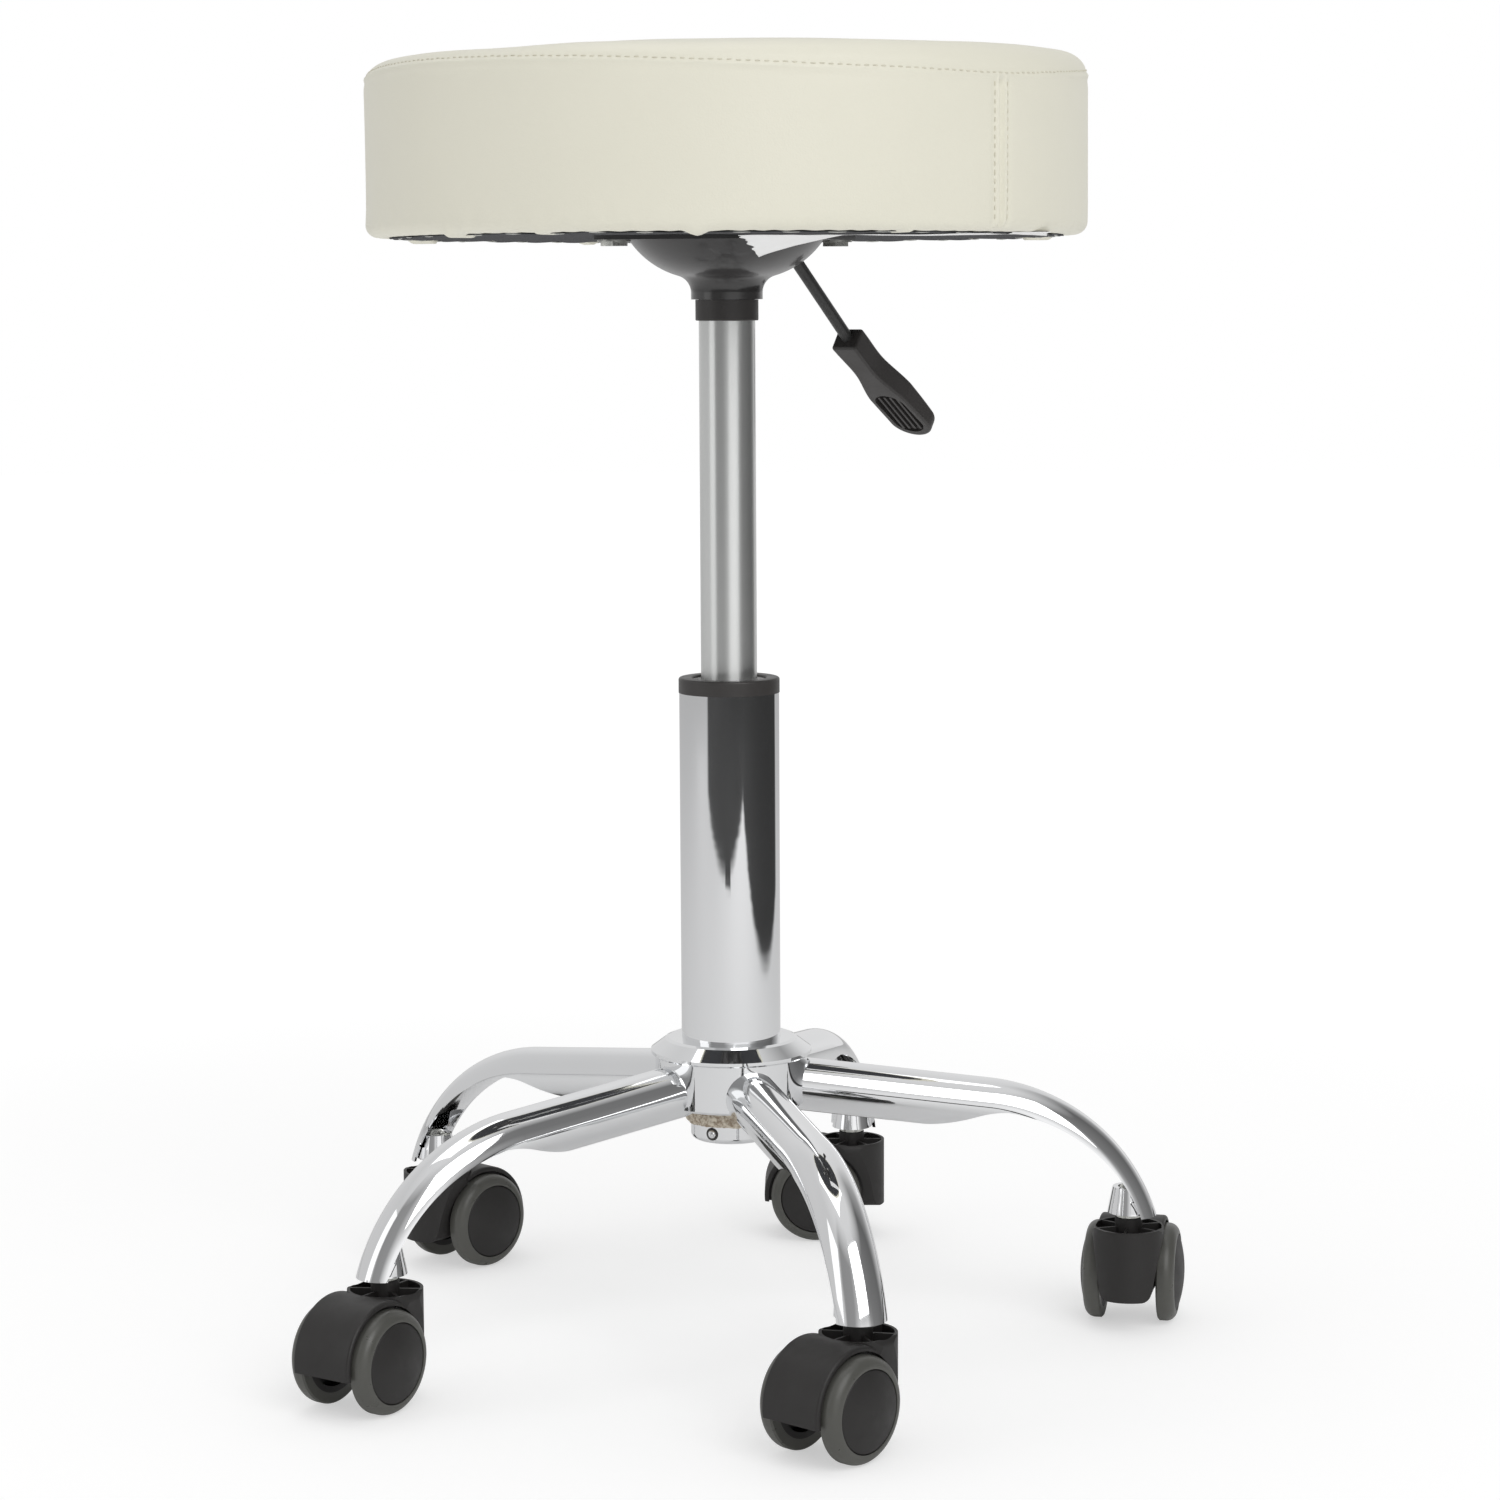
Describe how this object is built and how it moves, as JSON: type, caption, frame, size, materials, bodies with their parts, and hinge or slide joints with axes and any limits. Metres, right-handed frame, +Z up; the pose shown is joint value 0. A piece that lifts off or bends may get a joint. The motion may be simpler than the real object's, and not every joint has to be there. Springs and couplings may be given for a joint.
{
  "type": "pedicure stool",
  "caption": "Low round padded swivel stool on a gas lift, with a release lever and a chromed star base on twin-wheel casters.",
  "frame": {"origin": "on the floor, on the column's axis", "axes": "+Z up along the column, +X along the first leg"},
  "size_m": [0.4378, 0.4575, 0.6445],
  "materials": {
    "chrome": "mirror polished chrome plate",
    "satin_steel": "satin ground steel",
    "zinc_steel": "bright zinc plate",
    "bearing_steel": "ground steel",
    "aluminium": "turned",
    "black_plastic": "fine moulded texture",
    "bowl_black": "semi-gloss",
    "caster_nylon": "fine spark texture",
    "tread_grey": "smooth soft tread",
    "grey_plastic": "acetal",
    "black_paint": "satin black paint",
    "plywood": "birch plywood",
    "foam": "upholstery foam",
    "cream_vinyl": "soft matt vinyl with fine grain",
    "dust_cloth": "non-woven cloth",
    "filler": "rough hardened filler"
  },
  "bodies": {
    "base": {"hub": "chrome", "hub_weld_ring": "filler", "bottom_cap": "chrome", "outer_tube": "chrome", "column_cap": "black_plastic", "guide_bush": "grey_plastic", "thrust_bearing": "bearing_steel", "leg_1": "chrome", "leg_2": "chrome", "leg_3": "chrome", "leg_4": "chrome", "leg_5": "chrome", "caster_stems": "zinc_steel"},
    "piston": {"piston_rod": "bearing_steel", "retaining_clip": "zinc_steel"},
    "seat": {"gas_cylinder": "satin_steel", "cylinder_seal": "grey_plastic", "valve_block": "aluminium", "column_collar": "black_plastic", "bowl_cover": "bowl_black", "seat_plate": "black_paint", "seat_board": "plywood", "seat_foam": "foam", "seat_cover": "cream_vinyl", "dust_cover": "dust_cloth", "seat_bolts": "zinc_steel", "t_nuts": "zinc_steel"},
    "lever": {"lever_rod": "black_paint", "lever_handle": "black_plastic"},
    "valve": {"valve_pin": "bearing_steel"},
    "caster_1": {"caster_1_housing": "caster_nylon", "caster_1_axle": "zinc_steel"},
    "caster_1_right": {"caster_1_wheel_right": "caster_nylon", "caster_1_tread_right": "tread_grey"},
    "caster_1_left": {"caster_1_wheel_left": "caster_nylon", "caster_1_tread_left": "tread_grey"},
    "caster_2": {"caster_2_housing": "caster_nylon", "caster_2_axle": "zinc_steel"},
    "caster_2_right": {"caster_2_wheel_right": "caster_nylon", "caster_2_tread_right": "tread_grey"},
    "caster_2_left": {"caster_2_wheel_left": "caster_nylon", "caster_2_tread_left": "tread_grey"},
    "caster_3": {"caster_3_housing": "caster_nylon", "caster_3_axle": "zinc_steel"},
    "caster_3_right": {"caster_3_wheel_right": "caster_nylon", "caster_3_tread_right": "tread_grey"},
    "caster_3_left": {"caster_3_wheel_left": "caster_nylon", "caster_3_tread_left": "tread_grey"},
    "caster_4": {"caster_4_housing": "caster_nylon", "caster_4_axle": "zinc_steel"},
    "caster_4_right": {"caster_4_wheel_right": "caster_nylon", "caster_4_tread_right": "tread_grey"},
    "caster_4_left": {"caster_4_wheel_left": "caster_nylon", "caster_4_tread_left": "tread_grey"},
    "caster_5": {"caster_5_housing": "caster_nylon", "caster_5_axle": "zinc_steel"},
    "caster_5_right": {"caster_5_wheel_right": "caster_nylon", "caster_5_tread_right": "tread_grey"},
    "caster_5_left": {"caster_5_wheel_left": "caster_nylon", "caster_5_tread_left": "tread_grey"}
  },
  "joints": [
    {"name": "seat_swivel", "type": "hinge", "parent": "base", "child": "piston", "pos_m": [0, 0, 0.119], "axis": [0, 0, 1], "continuous": true},
    {"name": "seat_height", "type": "slide", "parent": "piston", "child": "seat", "axis": [0, 0, 1], "range_m": [-0.14, 0]},
    {"name": "lever_tilt", "type": "hinge", "parent": "seat", "child": "lever", "pos_m": [0.01926, 0.02802, 0.5445], "axis": [0.8241, -0.5664, 0], "range_deg": [0, 5.5]},
    {"name": "valve_press", "type": "slide", "parent": "seat", "child": "valve", "axis": [0, 0, -1], "range_m": [0, 0.0035], "stiffness_N_per_m": 400},
    {"name": "caster_1_swivel", "type": "hinge", "parent": "base", "child": "caster_1", "pos_m": [0.2017, 0, 0.045], "axis": [0, 0, 1], "continuous": true},
    {"name": "caster_1_roll_right", "type": "hinge", "parent": "caster_1", "child": "caster_1_right", "pos_m": [0.20562, 0.01961, 0.025], "axis": [0.9806, -0.1959, 0], "continuous": true},
    {"name": "caster_1_roll_left", "type": "hinge", "parent": "caster_1", "child": "caster_1_left", "pos_m": [0.20562, 0.01961, 0.025], "axis": [0.9806, -0.1959, 0], "continuous": true},
    {"name": "caster_2_swivel", "type": "hinge", "parent": "base", "child": "caster_2", "pos_m": [0.06233, 0.19183, 0.045], "axis": [0, 0, 1], "continuous": true},
    {"name": "caster_2_roll_right", "type": "hinge", "parent": "caster_2", "child": "caster_2_right", "pos_m": [0.04233, 0.19176, 0.025], "axis": [-0.0035, 1, 0], "continuous": true},
    {"name": "caster_2_roll_left", "type": "hinge", "parent": "caster_2", "child": "caster_2_left", "pos_m": [0.04233, 0.19176, 0.025], "axis": [-0.0035, 1, 0], "continuous": true},
    {"name": "caster_3_swivel", "type": "hinge", "parent": "base", "child": "caster_3", "pos_m": [-0.16318, 0.11856, 0.045], "axis": [0, 0, 1], "continuous": true},
    {"name": "caster_3_roll_right", "type": "hinge", "parent": "caster_3", "child": "caster_3_right", "pos_m": [-0.14985, 0.13347, 0.025], "axis": [0.7455, -0.6665, 0], "continuous": true},
    {"name": "caster_3_roll_left", "type": "hinge", "parent": "caster_3", "child": "caster_3_left", "pos_m": [-0.14985, 0.13347, 0.025], "axis": [0.7455, -0.6665, 0], "continuous": true},
    {"name": "caster_4_swivel", "type": "hinge", "parent": "base", "child": "caster_4", "pos_m": [-0.16318, -0.11856, 0.045], "axis": [0, 0, 1], "continuous": true},
    {"name": "caster_4_roll_right", "type": "hinge", "parent": "caster_4", "child": "caster_4_right", "pos_m": [-0.17392, -0.13542, 0.025], "axis": [-0.8434, 0.5373, 0], "continuous": true},
    {"name": "caster_4_roll_left", "type": "hinge", "parent": "caster_4", "child": "caster_4_left", "pos_m": [-0.17392, -0.13542, 0.025], "axis": [-0.8434, 0.5373, 0], "continuous": true},
    {"name": "caster_5_swivel", "type": "hinge", "parent": "base", "child": "caster_5", "pos_m": [0.06233, -0.19183, 0.045], "axis": [0, 0, 1], "continuous": true},
    {"name": "caster_5_roll_right", "type": "hinge", "parent": "caster_5", "child": "caster_5_right", "pos_m": [0.04942, -0.2071, 0.025], "axis": [-0.7638, 0.6455, 0], "continuous": true},
    {"name": "caster_5_roll_left", "type": "hinge", "parent": "caster_5", "child": "caster_5_left", "pos_m": [0.04942, -0.2071, 0.025], "axis": [-0.7638, 0.6455, 0], "continuous": true}
  ],
  "couplings": [
    {"joint": "valve_press", "follows": "lever_tilt", "m_per_rad": 0.034}
  ]
}
